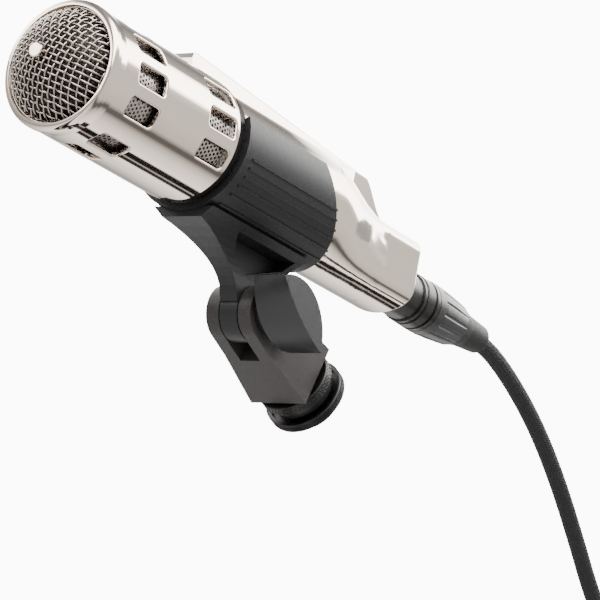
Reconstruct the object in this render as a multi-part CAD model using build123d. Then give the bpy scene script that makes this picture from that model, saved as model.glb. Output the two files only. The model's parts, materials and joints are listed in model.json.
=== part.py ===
from build123d import *
import math
import os

os.makedirs("parts", exist_ok=True)

# ---------------------------------------------------------------- overall layout
MIC_TILT = 17.5            # nose-up tilt of the microphone axis, degrees
BASE_TILT = 38.3           # slope of the stand-side axis below horizontal, degrees
PIVOT_TO_MOUTH = 54.0      # pivot axis to the mouth of the stand thread
PIVOT_TO_MIC = 47.4        # pivot axis to the microphone axis

# ---------------------------------------------------------------- fits
FIT_RUN = 0.05             # radial play of shafts and threads that turn
FIT_FREE = 0.35            # play between pieces that move past each other
FIT_TOUCH = 0.02           # play between assembled pieces that do not move
MESH_PLAY = 0.3            # play around the plug barrel

# ---------------------------------------------------------------- head
HEAD_R = 22.9
HEAD_WALL = 1.5
HEAD_FRONT = -125.4
HEAD_REAR = -51.4
LIP_INNER_R = 20.9
LIP_DEPTH = 2.0
LIP_FLARE = 0.35
LIP_LENGTH = 3.4
SLOT_LENGTH = 15.6
SLOT_WIDTH = 6.9
SLOT_CORNER = 1.6
SLOT_EDGE = 0.7
SLOT_FRONT_ROW = -103.0
SLOT_REAR_ROW = -61.6
SLOT_PITCH = 29.7          # degrees between neighbouring slots
SLOT_FIRST = -25.3         # first slot above the gap, degrees up from the -Y side
SLOT_GAP = 41.6            # degrees across the wider gap
SLOT_UPPER = 5
SLOT_LOWER = 5

# ---------------------------------------------------------------- front dome
DOME_RISE = 13.6
DOME_THICK = 0.9
DOME_FLANGE = 1.0
BACKING_GAP = 1.3
BACKING_THICK = 0.3
RING_LENGTH = 3.0
RING_WALL = 2.2
RIVET_HEAD_R = 2.6
RIVET_HEAD_T = 1.7
RIVET_R = 1.2
RIVET_LENGTH = 6.0

# ---------------------------------------------------------------- inner screen and motor
SCREEN_R = 19.9
SCREEN_T = 0.6
SCREEN_END_GAP = 0.3
MOTOR_FRONT = -112.0
MAGNET_W = 5.0
MAGNET_T = 10.0
MAGNET_L = 26.0
POLE_W = 4.2
POLE_T = 4.0
POLE_L = 30.0
RIBBON_W = 5.0
RIBBON_T = 0.12
RIBBON_L = 27.0
RIBBON_WAVE = 0.5
RIBBON_FOLDS = 18
GAP_W = 5.6
CLAMP_L = 2.4
CLAMP_W = 6.4
CARRIER_T = 3.0
CARRIER_R = 19.0
POST_R = 1.3
POST_CIRCLE = 15.8
GROMMET_R = 2.6
GROMMET_T = 3.0
FELT_FRONT = -84.0
FELT_T = 5.0
FELT_R = 18.8

# ---------------------------------------------------------------- neck and body
NECK_LENGTH = 5.4
NECK_PLUG = 2.4            # how far the collar reaches into the head
NECK_R = 19.4
NECK_RING_R = 20.9
BODY_R = 21.6
BODY_WALL = 2.1
BODY_FRONT = -46.0
BLEND_START = 18.0
BLEND_END = 60.0
TAIL_END = 82.2
TAIL_HALF = 14.7
TAIL_TOP = 10.2
TAIL_SHOULDER_Y = 8.0
TAIL_SHOULDER_Z = 8.1
TAIL_CORNER_Z = 4.6
TAIL_EDGE = 1.2
TAIL_BLOCK = 20.0
SECTION_POINTS = 32
SPINE_FRONT = -63.0
SPINE_TOP_FRONT = 28.6
SPINE_TOP_REAR = 21.4
SPINE_REAR = 52.0
SPINE_FOOT = 62.5
SPINE_HALF = 4.6
SPINE_WAIST = 5.8
SPINE_WAIST_RISE = 3.2
SPINE_FALL_STEPS = 12
SPINE_ROOT_Y = 10.5
SPINE_EDGE = 1.3
SPINE_SINK = 0.4
SPINE_GAP = 0.25

# ---------------------------------------------------------------- connector
PLUG_DROP = 10.3           # connector axis below the microphone axis
BORE_R = 8.2
BORE_DEPTH = 14.6
INSERT_T = 5.5
SET_SCREW_R = 1.3
SET_SCREW_LENGTH = 3.0
PIN_R = 1.2
PIN_CIRCLE = 4.0
PIN_REACH = 10.5
BARREL_WALL = 1.0
SHELL_R = 9.15
SHELL_END = 108.0
NUT_R = 10.3
NUT_END = 131.0
NUT_TAIL_R = 8.7
NUT_FLUTES = 14
BOOT_END = 153.0
BOOT_R = 8.5
BOOT_TIP_R = 5.7
LATCH_START = 96.0
LATCH_LENGTH = 9.0
LATCH_WIDTH = 5.4
LATCH_TRAVEL = 0.8

# ---------------------------------------------------------------- cable
CABLE_D = 7.0
CABLE_START = 140.0
COIL_R = 40.0
COIL_ACROSS = 4            # turns side by side across the ring
COIL_DEEP = 3              # turns side by side along the ring's axis
COIL_CORNER = 4.0
COIL_CENTRE_X = 248.0      # measured from the pivot
COIL_CENTRE_Z = -216.0
COIL_SIDE_Y = -28.0        # the coil hangs beside the stand's tube
TIE_ANGLE = 56.0
TIE_SPREAD = 18.0
TIE_T = 1.6
TAIL_DROP = 32.0           # free cable from the coil's side down to the far plug
CABLE_GRIP = 8.0           # cable held inside the far plug
FAR_BOOT_LENGTH = 20.0
FAR_SHELL_LENGTH = 40.0
FAR_WEB = 16.0             # solid end of the far shell behind its pins
FAR_PIN_LENGTH = 14.0

# ---------------------------------------------------------------- clip
CLIP_WALL = 2.4
CLIP_FRONT = -47.6
CLIP_OPEN = 22.0           # cradle lips, degrees above the horizontal
CLIP_REAR = 7.5            # rear edge at the height of the axis
CLIP_REAR_SLOPE = 0.66
RIB_COUNT = 6
RIB_TOP = -5.2
RIB_STEP = 3.1
RIB_W = 0.8
RIB_H = 0.5
RIB_START = -43.0
STEM_FRONT = -46.0
STEM_REAR = 12.0
HUB_R = 10.1
HUB_HALF = 3.7
STEM_FLARE = 13.0
POCKET_WEB = 1.6

# ---------------------------------------------------------------- yoke and clamp
EAR_R = 10.1
EAR_OUT = 9.6
EAR_IN = 4.25
SLOT_FLOOR = 13.0
BLOCK_END = 37.0
BLOCK_HALF_Y = 12.0
BLOCK_HALF_Z = 12.3
BLOCK_EDGE = 0.8
WASHER_R = 8.0
BOLT_R = 3.0
BOLT_HEAD_R = 5.2
BOLT_HEAD_T = 3.2
NUT_ACROSS = 10.0
KNOB_IN = -12.3
KNOB_OUT = -25.2
KNOB_REACH = 17.6
KNOB_BACK_IN = 11.5
KNOB_BACK_OUT = 10.0
KNOB_FRONT_IN = 7.8
KNOB_FRONT_OUT = 2.0
KNOB_LEAN = 51.5
KNOB_BOSS_R = 7.4
BOLT_END = -19.4

# ---------------------------------------------------------------- stand thread
THREAD_R = 7.45            # root of the 5/8"-27 female thread
BUSH_R = 9.6
BUSH_TOP = 18.0
FLANGE_R = 13.9
FLANGE_T = 4.0
LOCK_TOP = 46.3
LOCK_BOTTOM = 50.1
LOCK_R = 15.0
LOCK_DISH_R = 13.7
LOCK_DISH = 2.0
LOCK_HUB_R = 10.8
RIM_EDGE = 0.35

NECK_FRONT = HEAD_REAR - NECK_PLUG

# ---------------------------------------------------------------- frames
BASE_RAD = math.radians(BASE_TILT)
PIVOT = (-PIVOT_TO_MOUTH * math.cos(BASE_RAD), 0, PIVOT_TO_MOUTH * math.sin(BASE_RAD))
MIC = Location(PIVOT, (0, MIC_TILT, 0)) * Pos(0, 0, PIVOT_TO_MIC)
BASE = Location(PIVOT, (0, BASE_TILT, 0))
LOW = (Align.CENTER, Align.CENTER, Align.MIN)


# ---------------------------------------------------------------- helpers
def rod_x(r, x0, x1, y=0.0, z=0.0):
    """A round bar along X."""
    return Pos(x0, y, z) * Rot(0, 90, 0) * Cylinder(r, x1 - x0, align=LOW)


def rod_y(r, y0, y1, x=0.0, z=0.0):
    """A round bar along Y."""
    return Pos(x, y0, z) * Rot(-90, 0, 0) * Cylinder(r, y1 - y0, align=LOW)


def block(x0, x1, y0, y1, z0, z1):
    """A box between two corners."""
    return Pos((x0 + x1) / 2, (y0 + y1) / 2, (z0 + z1) / 2) * Box(x1 - x0, y1 - y0, z1 - z0)


def turned(points, y=0.0, z=0.0):
    """A turned piece about X from (x, radius) points."""
    return Pos(0, y, z) * revolve(make_face(Polyline(*points, close=True)), Axis.X)


def tube_x(r_out, r_in, x0, x1, y=0.0, z=0.0):
    """A round tube along X."""
    return rod_x(r_out, x0, x1, y, z) - rod_x(r_in, x0 - 1, x1 + 1, y, z)


def side_plate(points, y0, y1):
    """A plate cut to an (x, z) outline, between two Y values."""
    face = Plane.XZ * make_face(Polyline(*points, close=True))
    return Pos(0, y1, 0) * extrude(face, y1 - y0)


def spin(angle):
    """Turn about X, in degrees."""
    return Rot(angle, 0, 0)


def on_side(angle, x):
    """A plane at x whose normal points out at this angle above the -Y side."""
    a = math.radians(angle)
    return Plane(origin=(x, 0, 0), x_dir=(1, 0, 0), z_dir=(0, -math.cos(a), math.sin(a)))


# ---------------------------------------------------------------- head pieces
def slot_angles(rear):
    """Angles of the slots; the rear row has only the upper group."""
    upper = [SLOT_FIRST + SLOT_PITCH * k for k in range(SLOT_UPPER)]
    if rear:
        return upper
    lower = [SLOT_FIRST - SLOT_GAP - SLOT_PITCH * k for k in range(SLOT_LOWER)]
    return upper + lower + [(upper[-1] + lower[-1] + 360) / 2]


def head_shell():
    """The plated tube with its rolled front lip and two rows of slots."""
    inner = HEAD_R - HEAD_WALL
    flare = HEAD_R + LIP_FLARE
    shell = turned([
        (HEAD_FRONT, LIP_INNER_R),
        (HEAD_FRONT, flare),
        (HEAD_FRONT + LIP_LENGTH, flare),
        (HEAD_FRONT + 2 * LIP_LENGTH, HEAD_R),
        (HEAD_REAR, HEAD_R),
        (HEAD_REAR, inner),
        (HEAD_FRONT + LIP_DEPTH, inner),
        (HEAD_FRONT + LIP_DEPTH, LIP_INNER_R),
    ])
    front = shell.edges().filter_by(GeomType.CIRCLE).sort_by(Axis.X)
    outer = [e for e in front if abs(e.center().X - HEAD_FRONT) < 0.01 and e.radius > HEAD_R]
    shell = fillet(outer, HEAD_WALL + 0.4)
    rims = shell.edges().filter_by(GeomType.CIRCLE)
    rim = [e for e in rims if abs(e.center().X - HEAD_REAR) < 0.01 and e.radius > HEAD_R - 0.01]
    shell = fillet(rim, HEAD_WALL / 2)
    for x, rear in ((SLOT_FRONT_ROW, False), (SLOT_REAR_ROW, True)):
        for angle in slot_angles(rear):
            face = on_side(angle, x) * RectangleRounded(SLOT_LENGTH, SLOT_WIDTH, SLOT_CORNER)
            start = inner - 2
            shell -= extrude(face.moved(Location(on_side(angle, x).z_dir * start)), 8)
    mouth = []
    for e in shell.edges():
        c = e.center()
        far = math.hypot(c.Y, c.Z)
        if far > HEAD_R - 0.15 and c.X > HEAD_FRONT + 2 * LIP_LENGTH + 1 and c.X < HEAD_REAR - 1.5:
            if e.length < 2 * SLOT_LENGTH and e.geom_type != GeomType.CIRCLE or e.length < 10:
                mouth.append(e)
    mouth = [e for e in mouth if abs(e.center().X - HEAD_REAR) > 2]
    return fillet(mouth, SLOT_EDGE)


def cap(base_x, base_r, rise, thick):
    """A domed sheet of even thickness, bulging towards -X."""
    ball = (base_r**2 + rise**2) / (2 * rise)
    centre = base_x - rise + ball
    solid = Pos(centre, 0, 0) * Sphere(ball) - Pos(centre, 0, 0) * Sphere(ball - thick)
    return solid & block(centre - ball - 1, base_x, -base_r - 2, base_r + 2, -base_r - 2, base_r + 2)


DOME_BASE = HEAD_FRONT + LIP_DEPTH
DOME_APEX = DOME_BASE - DOME_RISE


def grille_dome():
    """The outer body of the woven front dome with its flange."""
    inner = HEAD_R - HEAD_WALL
    sheet = cap(DOME_BASE, LIP_INNER_R - FIT_TOUCH, DOME_RISE, DOME_THICK)
    flange = tube_x(inner - FIT_TOUCH, LIP_INNER_R - 2 * DOME_THICK, DOME_BASE, DOME_BASE + DOME_FLANGE)
    return sheet + flange - rod_x(RIVET_R, DOME_APEX - 1, DOME_APEX + 3)


def backing_dome():
    """The fine gauze behind the woven dome."""
    base = DOME_BASE + DOME_FLANGE
    r = LIP_INNER_R - 2 * DOME_THICK
    rise = DOME_RISE + DOME_FLANGE - DOME_THICK - BACKING_GAP
    gauze = cap(base, r - FIT_TOUCH - 0.4, rise, BACKING_THICK)
    return gauze - rod_x(RIVET_R, base - rise - 1, base - rise + 3)


def retaining_ring():
    """Threaded ring that holds both domes in the head."""
    inner = HEAD_R - HEAD_WALL
    x = DOME_BASE + DOME_FLANGE
    return tube_x(inner - FIT_TOUCH, inner - RING_WALL, x, x + RING_LENGTH)


def dome_rivet():
    """Flat-headed rivet at the apex of the dome."""
    head = rod_x(RIVET_HEAD_R, DOME_APEX - RIVET_HEAD_T, DOME_APEX)
    edge = head.edges().filter_by(GeomType.CIRCLE).sort_by(Axis.X)[0]
    head = fillet(edge, 0.4)
    return head + rod_x(RIVET_R, DOME_APEX - 0.1, DOME_APEX + RIVET_LENGTH)


SCREEN_FRONT = DOME_BASE + DOME_FLANGE + RING_LENGTH


def inner_screen():
    """Perforated cylinder seen through the slots."""
    return tube_x(SCREEN_R, SCREEN_R - SCREEN_T, SCREEN_FRONT, NECK_FRONT - SCREEN_END_GAP)


def magnets():
    """The two bar magnets beside the pole pieces."""
    y0 = GAP_W / 2 + POLE_W
    bars = []
    for s in (-1, 1):
        lo, hi = sorted((s * y0, s * (y0 + MAGNET_W)))
        bars.append(block(MOTOR_FRONT, MOTOR_FRONT + MAGNET_T, lo, hi, -MAGNET_L / 2, MAGNET_L / 2))
    return bars


def pole_pieces():
    """Tapered steel poles on either side of the ribbon."""
    poles = []
    y1 = GAP_W / 2 + POLE_W
    x0 = MOTOR_FRONT
    for s in (-1, 1):
        outline = [
            (x0, s * y1),
            (x0 + POLE_T * 0.4, s * GAP_W / 2),
            (x0 + POLE_T, s * GAP_W / 2),
            (x0 + 1.6 * POLE_T, s * y1),
        ]
        face = make_face(Polyline(*outline, close=True))
        poles.append(Pos(0, 0, -POLE_L / 2) * extrude(face, POLE_L, dir=(0, 0, 1)))
    return poles


RIBBON_X = MOTOR_FRONT + 0.7 * POLE_T


def ribbon():
    """The corrugated foil strip in the gap."""
    step = RIBBON_L / RIBBON_FOLDS
    front = []
    for k in range(RIBBON_FOLDS + 1):
        dx = RIBBON_WAVE / 2 * (1 if k % 2 else -1)
        front.append((RIBBON_X + dx, -RIBBON_L / 2 + k * step))
    back = [(x + RIBBON_T, z) for x, z in reversed(front)]
    return side_plate(front + back, -RIBBON_W / 2, RIBBON_W / 2)


def ribbon_clamps():
    """Brass clamps that grip the ribbon's two ends."""
    out = []
    for s in (-1, 1):
        lo, hi = sorted((s * RIBBON_L / 2, s * (RIBBON_L / 2 + CLAMP_L)))
        out.append(block(RIBBON_X - 1.5, RIBBON_X + 1.6, -GAP_W / 2, GAP_W / 2, lo, hi))
    return out


def clamp_screws():
    """Small screws through the ribbon clamps."""
    out = []
    z = RIBBON_L / 2 + CLAMP_L / 2
    for s in (-1, 1):
        out.append(rod_x(0.9, RIBBON_X - 2.4, RIBBON_X - 1.5, 0, s * z))
    return out


def return_plate():
    """Steel plate that closes the magnetic path behind the magnets."""
    y = GAP_W / 2 + POLE_W + MAGNET_W
    x = MOTOR_FRONT + MAGNET_T
    return block(x, x + 2.0, -y, y, -MAGNET_L / 2, MAGNET_L / 2) - rod_x(4.0, x - 1, x + 3)


CARRIER_X = MOTOR_FRONT + MAGNET_T + 2.0


def motor_carrier():
    """Disc that carries the motor across the head."""
    disc = rod_x(CARRIER_R, CARRIER_X, CARRIER_X + CARRIER_T)
    for s in (-1, 1):
        disc -= block(CARRIER_X - 1, CARRIER_X + CARRIER_T + 1, -6, 6, 6 * s - 2.5, 6 * s + 2.5)
    for k in range(4):
        disc -= spin(45 + 90 * k) * rod_x(POST_R, CARRIER_X - 1, CARRIER_X + CARRIER_T + 1, POST_CIRCLE)
    return disc


def posts():
    """Four rods from the carrier back to the neck collar."""
    return [spin(45 + 90 * k) * rod_x(POST_R, CARRIER_X, NECK_FRONT, POST_CIRCLE) for k in range(4)]


def grommets():
    """Rubber bushes on the posts behind the carrier."""
    x = CARRIER_X + CARRIER_T
    return [
        spin(45 + 90 * k) * tube_x(GROMMET_R, POST_R, x, x + GROMMET_T, POST_CIRCLE)
        for k in range(4)
    ]


def felt_disc():
    """Acoustic felt across the rear of the head."""
    disc = rod_x(FELT_R, FELT_FRONT, FELT_FRONT + FELT_T)
    for k in range(4):
        disc -= spin(45 + 90 * k) * rod_x(POST_R, FELT_FRONT - 1, FELT_FRONT + FELT_T + 1, POST_CIRCLE)
    return disc - rod_x(3.0, FELT_FRONT - 1, FELT_FRONT + FELT_T + 1)


# ---------------------------------------------------------------- neck and body
def neck_collar():
    """Joins the head to the body and closes the head's rear."""
    head_fit = HEAD_R - HEAD_WALL - FIT_TOUCH
    body_fit = BODY_R - BODY_WALL - FIT_TOUCH
    x = HEAD_REAR + NECK_LENGTH
    collar = turned([
        (NECK_FRONT, 0),
        (NECK_FRONT, head_fit),
        (HEAD_REAR, head_fit),
        (HEAD_REAR, NECK_R),
        (x, NECK_R),
        (x, body_fit),
        (x + 6, body_fit),
        (x + 6, body_fit - 2.5),
        (NECK_FRONT + 3, body_fit - 2.5),
        (NECK_FRONT + 3, 0),
    ])
    return collar - rod_x(2.5, NECK_FRONT - 1, NECK_FRONT + 4)


def neck_ring():
    """Black rubber ring in the recess between head and body."""
    x1 = HEAD_REAR + NECK_LENGTH
    return tube_x(NECK_RING_R, NECK_R, HEAD_REAR + FIT_TOUCH, x1 - FIT_TOUCH)


def tail_radius(angle, shrink):
    """Distance from the axis to the tail's outline, at an angle from +Y towards +Z."""
    half = TAIL_HALF - shrink
    top = TAIL_TOP - shrink
    shoulder_z = TAIL_SHOULDER_Z - shrink
    corner_z = TAIL_CORNER_Z - shrink
    low_r = BODY_R - shrink
    outline = [(half, -low_r), (half, corner_z), (TAIL_SHOULDER_Y, shoulder_z), (0.0, top)]
    c, s = abs(math.cos(angle)), math.sin(angle)
    best = low_r
    for (y0, z0), (y1, z1) in zip(outline[:-1], outline[1:]):
        ey, ez = y1 - y0, z1 - z0
        det = c * ez - s * ey
        if abs(det) > 1e-9:
            t = (y0 * ez - z0 * ey) / det
            k = (y0 * s - z0 * c) / det
            if t > 0 and -1e-6 <= k <= 1 + 1e-6:
                best = min(best, t)
    return best


def smooth_tail(shrink):
    """The tail's outline with its corners softened, as radii at even angles."""
    n = 360
    raw = [tail_radius(2 * math.pi * k / n, shrink) for k in range(n)]
    span = 9
    soft = []
    for k in range(n):
        near = [raw[(k + j) % n] for j in range(-span, span + 1)]
        soft.append(sum(near) / len(near))
    return soft


def section(x, share, shrink, soft):
    """A closed body section, blended between round and tail shape."""
    plane = Plane(origin=(x, 0, 0), x_dir=(0, 1, 0), z_dir=(1, 0, 0))
    if share == 0:
        return plane * Circle(BODY_R - shrink)
    points = []
    for k in range(SECTION_POINTS):
        a = 2 * math.pi * k / SECTION_POINTS
        tail = soft[round(math.degrees(a)) % 360]
        r = (BODY_R - shrink) * (1 - share) + tail * share
        points.append((r * math.cos(a), r * math.sin(a)))
    return plane * make_face(Spline(*points, periodic=True))


def body_core(shrink, x0, x1):
    """Round front, blended middle and slim tail, all inset by shrink."""
    soft = smooth_tail(shrink)
    count = 7
    faces = []
    for k in range(count):
        f = k / (count - 1)
        share = f * f * (3 - 2 * f)
        faces.append(section(BLEND_START + (BLEND_END - BLEND_START) * f, share, shrink, soft))
    middle = loft(faces)
    front = rod_x(BODY_R - shrink, x0, BLEND_START)
    tail = extrude(section(BLEND_END, 1.0, shrink, soft), x1 - BLEND_END, dir=(1, 0, 0))
    return front + middle + tail


def top_keel():
    """The raised keel along the top, reaching forward over the head."""
    fall_start = SPINE_REAR - 3
    fall_length = SPINE_FOOT + 3.5 - fall_start
    fall_top = SPINE_TOP_REAR + 0.2
    outline = [
        (SPINE_FRONT, HEAD_R),
        (SPINE_FRONT, SPINE_TOP_FRONT - 3),
        (SPINE_FRONT + 0.9, SPINE_TOP_FRONT - 0.9),
        (SPINE_FRONT + 3, SPINE_TOP_FRONT),
    ]
    for k in range(SPINE_FALL_STEPS + 1):
        f = k / SPINE_FALL_STEPS
        share = f * f * (3 - 2 * f)
        outline.append((fall_start + fall_length * f, fall_top + share * (TAIL_TOP - 1.0 - fall_top)))
    outline += [
        (SPINE_FOOT - 5, 2.0),
        (BODY_FRONT, 2.0),
        (BODY_FRONT, HEAD_R),
    ]
    side = side_plate(outline, -14, 14)
    root_z = math.sqrt((BODY_R - SPINE_SINK) ** 2 - SPINE_ROOT_Y**2)
    waist_z = root_z + SPINE_WAIST_RISE
    left = Polyline((0, SPINE_TOP_FRONT + 1), (-SPINE_HALF, SPINE_TOP_FRONT + 1), (-SPINE_WAIST, waist_z))
    flank = ThreePointArc((-SPINE_WAIST, waist_z), (-SPINE_WAIST - 1.2, root_z + 1.0), (-SPINE_ROOT_Y, root_z))
    low = Polyline((-SPINE_ROOT_Y, root_z), (-SPINE_ROOT_Y, 0), (0, 0), (0, SPINE_TOP_FRONT + 1))
    half = make_face(left + flank + low)
    plane = Plane(origin=(SPINE_FRONT - 2, 0, 0), x_dir=(0, 1, 0), z_dir=(1, 0, 0))
    bar = extrude(plane * half, 140, dir=(1, 0, 0))
    bar += mirror(bar, Plane.XZ)
    narrow = SPINE_WAIST + 0.2
    plan = make_face(Polyline(
        (SPINE_FRONT - 2, -SPINE_ROOT_Y - 1), (0, -SPINE_ROOT_Y - 1), (fall_start - 6, -narrow), (80, -narrow),
        (80, narrow), (fall_start - 6, narrow), (0, SPINE_ROOT_Y + 1), (SPINE_FRONT - 2, SPINE_ROOT_Y + 1),
        close=True))
    keel = side & bar
    ridge = []
    for e in keel.edges():
        c = e.center()
        if c.Z > SPINE_TOP_REAR - 1.5 and e.length > 30 and abs(c.Y) > 2 and abs(c.Y) < SPINE_WAIST + 0.1:
            ridge.append(e)
    keel = fillet(ridge, SPINE_EDGE) & extrude(plan, 40)
    keel -= rod_x(HEAD_R + SPINE_GAP, SPINE_FRONT - 5, BODY_FRONT)
    return keel - body_core(0.0, BODY_FRONT, TAIL_END)


INSERT_X = TAIL_END - BORE_DEPTH - INSERT_T


def set_screw_rod(foot, top):
    """Upright rod at the set screw's place."""
    return Pos(INSERT_X + INSERT_T / 2, 0, foot) * Cylinder(SET_SCREW_R, top - foot, align=LOW)


def body_shell():
    """Hollow body with slim tail and connector bore."""
    shell = body_core(0.0, BODY_FRONT, TAIL_END)
    ends = [e for e in shell.edges() if abs(e.center().X - TAIL_END) < 0.01]
    shell = fillet(ends, TAIL_EDGE)
    shell -= body_core(BODY_WALL, BODY_FRONT - 1, TAIL_END - TAIL_BLOCK)
    shell -= rod_x(BORE_R, TAIL_END - TAIL_BLOCK - 1, TAIL_END + 1, 0, -PLUG_DROP)
    return shell - set_screw_rod(-BODY_R - 5, -PLUG_DROP)


def transformer_core():
    """Laminated core inside the body."""
    core = block(-24, 0, -9, 9, -12, 12)
    for s in (-1, 1):
        core -= block(-20, -4, -10, 10, s * 6.2 - 2.8, s * 6.2 + 2.8)
    return core


def transformer_coil():
    """Winding bobbin on the core's middle leg."""
    coil = block(-19.6, -4.4, -12.5, 12.5, -8.6, 8.6)
    return coil - block(-19.7, -4.3, -9.02, 9.02, -3.42, 3.42)


def transformer_cradle():
    """Bent bracket that carries the transformer on the body wall."""
    return block(-27, 3, -8, 8, -13.6, -12.02) + block(-27, -25.4, -8, 8, -13.6, 6)


def circuit_board():
    """Small board with the output network."""
    return block(22, 48, -9, 9, -9.0, -7.4)


def board_posts():
    """Stand-offs under the board."""
    return [Pos(x, y, -12.6) * Cylinder(1.6, 3.6, align=LOW) for x in (25, 45) for y in (-6, 6)]


# ---------------------------------------------------------------- microphone-side connector
def pin_places():
    """Pin centres round the connector axis."""
    return [
        (PIN_CIRCLE * math.cos(math.radians(a)), PIN_CIRCLE * math.sin(math.radians(a)) - PLUG_DROP)
        for a in (30, 150, 270)
    ]


def xlr_insert():
    """Moulded disc that carries the pins."""
    disc = rod_x(BORE_R, INSERT_X, INSERT_X + INSERT_T, 0, -PLUG_DROP)
    for y, z in pin_places():
        disc -= rod_x(PIN_R, INSERT_X - 1, INSERT_X + INSERT_T + 1, y, z)
    return disc


def xlr_pins():
    """Three plated pins."""
    out = []
    for y, z in pin_places():
        pin = rod_x(PIN_R, INSERT_X - 3, INSERT_X + INSERT_T + PIN_REACH, y, z)
        out.append(fillet(pin.edges().filter_by(GeomType.CIRCLE).sort_by(Axis.X)[-1], 0.8))
    return out


def xlr_screw():
    """Set screw that locks the insert, under the tail."""
    top = -PLUG_DROP - BORE_R
    return set_screw_rod(top - SET_SCREW_LENGTH, top)


# ---------------------------------------------------------------- cable plug
def plug_barrel():
    """Metal nose of the cable plug."""
    r = BORE_R - MESH_PLAY
    return tube_x(r, r - BARREL_WALL, TAIL_END - BORE_DEPTH + 0.8, TAIL_END + 2, 0, -PLUG_DROP)


def plug_sockets():
    """Moulded insulator with the three sockets."""
    r = BORE_R - MESH_PLAY - BARREL_WALL
    front = TAIL_END - BORE_DEPTH + 1.0
    body = rod_x(r, front, TAIL_END + 6, 0, -PLUG_DROP)
    for y, z in pin_places():
        body -= rod_x(PIN_R + FIT_RUN, front - 1, front + PIN_REACH + 2, y, z)
    return body


def latch_box(lift):
    """Space of the latch tab on top of the plug shell."""
    z = SHELL_R - PLUG_DROP
    return block(LATCH_START - lift, LATCH_START + LATCH_LENGTH + lift,
                 -LATCH_WIDTH / 2 - lift, LATCH_WIDTH / 2 + lift, z - 2.2 - LATCH_TRAVEL - lift, z + 3)


def plug_shell():
    """Stepped outer shell of the plug."""
    x = TAIL_END + 0.3
    inner = BORE_R - MESH_PLAY
    shell = turned([
        (x, inner),
        (x, SHELL_R),
        (x + 14.2, SHELL_R + 0.1),
        (x + 14.4, SHELL_R + 0.75),
        (x + 15.7, SHELL_R + 0.75),
        (x + 15.9, SHELL_R + 0.3),
        (x + 17.1, SHELL_R + 0.3),
        (x + 17.4, SHELL_R + 0.85),
        (x + 21.6, SHELL_R + 1.0),
        (x + 21.8, SHELL_R + 0.45),
        (x + 22.9, SHELL_R + 0.45),
        (x + 23.1, SHELL_R + 1.05),
        (SHELL_END, SHELL_R + 1.05),
        (SHELL_END, 6.0),
        (x + 8, 6.0),
        (x + 8, inner - BARREL_WALL),
        (x + 4, inner - BARREL_WALL),
        (x + 4, inner),
    ], z=-PLUG_DROP)
    return shell - latch_box(0.15)


def latch_tab():
    """Thumb tab that releases the plug."""
    z = SHELL_R - PLUG_DROP
    tab = block(LATCH_START, LATCH_START + LATCH_LENGTH, -LATCH_WIDTH / 2, LATCH_WIDTH / 2,
                z - 2.0, z + 0.9)
    tops = tab.edges().filter_by(Axis.Y).sort_by(Axis.Z)[-2:]
    return chamfer(tops, 0.5)


def plug_nut():
    """Fluted clamping nut behind the shell."""
    nut = turned([
        (SHELL_END + FIT_TOUCH, 4.6),
        (SHELL_END + FIT_TOUCH, NUT_R),
        (SHELL_END + 5.5, NUT_R),
        (SHELL_END + 13.5, NUT_R - 0.6),
        (NUT_END, NUT_TAIL_R),
        (NUT_END, 4.6),
    ], z=-PLUG_DROP)
    length = NUT_END - SHELL_END - 3
    for k in range(NUT_FLUTES):
        a = 360 * (k + 0.5) / NUT_FLUTES
        groove = Pos(SHELL_END + 4, NUT_R + 0.75, 0) * Rot(0, 0, -4.2)
        groove = groove * rod_x(1.1, 0, length)
        nut -= Pos(0, 0, -PLUG_DROP) * spin(a) * groove
    return nut


def plug_chuck():
    """Collet that grips the cable inside the nut."""
    return tube_x(4.6 - FIT_TOUCH, CABLE_D / 2, SHELL_END - 6, NUT_END - 1, 0, -PLUG_DROP)


def boot_profile(x0, length, r0, r1, bore):
    """Outline of a tapered strain relief."""
    return [
        (x0, bore),
        (x0, r0),
        (x0 + 0.32 * length, r0 + 0.62 * (r1 - r0)),
        (x0 + 0.6 * length, r0 + 0.8 * (r1 - r0)),
        (x0 + 0.93 * length, r1),
        (x0 + length, r1 - 0.8),
        (x0 + length, bore),
    ]


def plug_boot():
    """Tapered rubber strain relief."""
    return turned(boot_profile(NUT_END + FIT_TOUCH, BOOT_END - NUT_END, BOOT_R, BOOT_TIP_R, CABLE_D / 2),
                  z=-PLUG_DROP)


# ---------------------------------------------------------------- cable and coil
def mic_point(x, z):
    """World position of a point on the microphone's middle plane."""
    p = (MIC * Pos(x, 0, z)).position
    return (p.X, 0.0, p.Z)


def pivot_point(x, z, y=0.0):
    """World position from offsets measured at the pivot."""
    return (PIVOT[0] + x, y, PIVOT[2] + z)


COIL_HALF_W = COIL_ACROSS * CABLE_D / 2
COIL_HALF_T = COIL_DEEP * CABLE_D / 2

CABLE_ROUTE = [
    mic_point(CABLE_START, -PLUG_DROP),
    mic_point(156.5, -PLUG_DROP),
    pivot_point(180.5, -25.8),
    pivot_point(200.5, -45.0),
    pivot_point(217.5, -67.5),
    pivot_point(232.0, -91.5),
    pivot_point(243.5, -117.0, -1.5),
    pivot_point(250.8, -136.5, -7.0),
    pivot_point(255.6, -152.5, -15.5),
    pivot_point(260.5, -167.5, -25.0),
]


def corner_radii(points):
    """Bend radius at each inner corner of a route."""
    radii = []
    for a, b, c in zip(points[:-2], points[1:-1], points[2:]):
        u, v = Vector(*b) - Vector(*a), Vector(*c) - Vector(*b)
        half = math.radians(u.get_angle(v)) / 2
        radii.append(0.45 * min(u.length, v.length) / math.tan(half))
    return radii


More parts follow.
